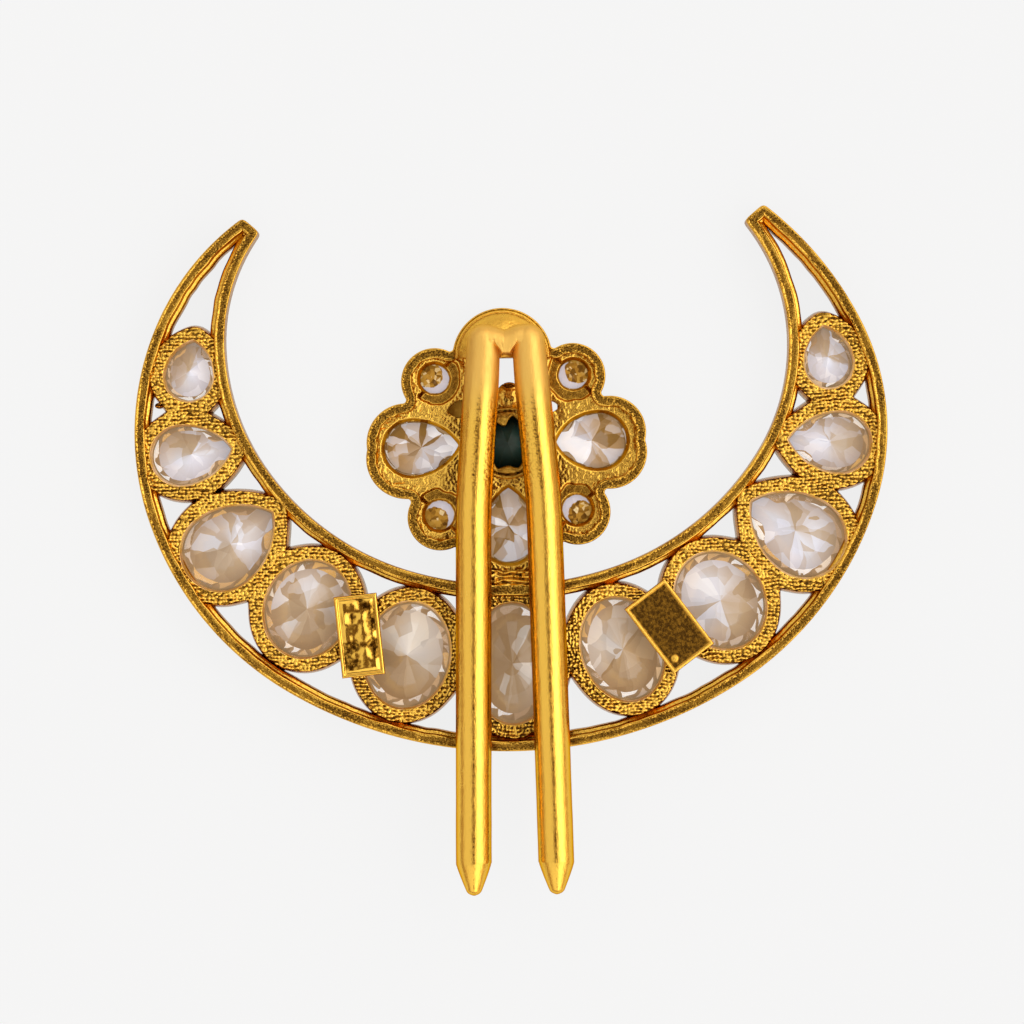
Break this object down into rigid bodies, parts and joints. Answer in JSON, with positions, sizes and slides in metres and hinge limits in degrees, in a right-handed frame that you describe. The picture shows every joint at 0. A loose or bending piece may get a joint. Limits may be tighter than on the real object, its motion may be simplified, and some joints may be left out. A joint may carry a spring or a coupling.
{
  "type": "temple hair brooch",
  "caption": "Crescent hair brooch with stones in open-backed cups, a stone-set flower in its hollow and a two-pronged hairpin soldered across its back.",
  "frame": {"origin": "middle of the brooch's plan box, on the plane of its front, on which it lies", "axes": "+Z out of the back, towards the hairpin; +Y to the horns; +X across the crescent, to the right seen from behind"},
  "size_m": [0.055, 0.0499, 0.0069],
  "materials": {
    "gilt_silver": "gold-plated silver, cast texture with filed and polished edges",
    "clear_stone": "cut clear stone, slightly milky",
    "petal_stone": "cut clear stone, bright",
    "green_stone": "cut dark green stone"
  },
  "bodies": {
    "root": {"setting": "gilt_silver", "stone_1": "clear_stone", "stone_2": "clear_stone", "stone_3": "clear_stone", "stone_4": "clear_stone", "stone_5": "clear_stone", "stone_6": "clear_stone", "stone_7": "clear_stone", "stone_8": "clear_stone", "stone_9": "clear_stone", "stone_10": "clear_stone", "stone_11": "clear_stone", "petal_stone_1": "petal_stone", "petal_stone_2": "petal_stone", "petal_stone_3": "petal_stone", "petal_stone_4": "petal_stone", "petal_stone_5": "petal_stone", "petal_stone_6": "petal_stone", "petal_stone_7": "petal_stone", "centre_stone": "green_stone"}
  },
  "joints": []
}
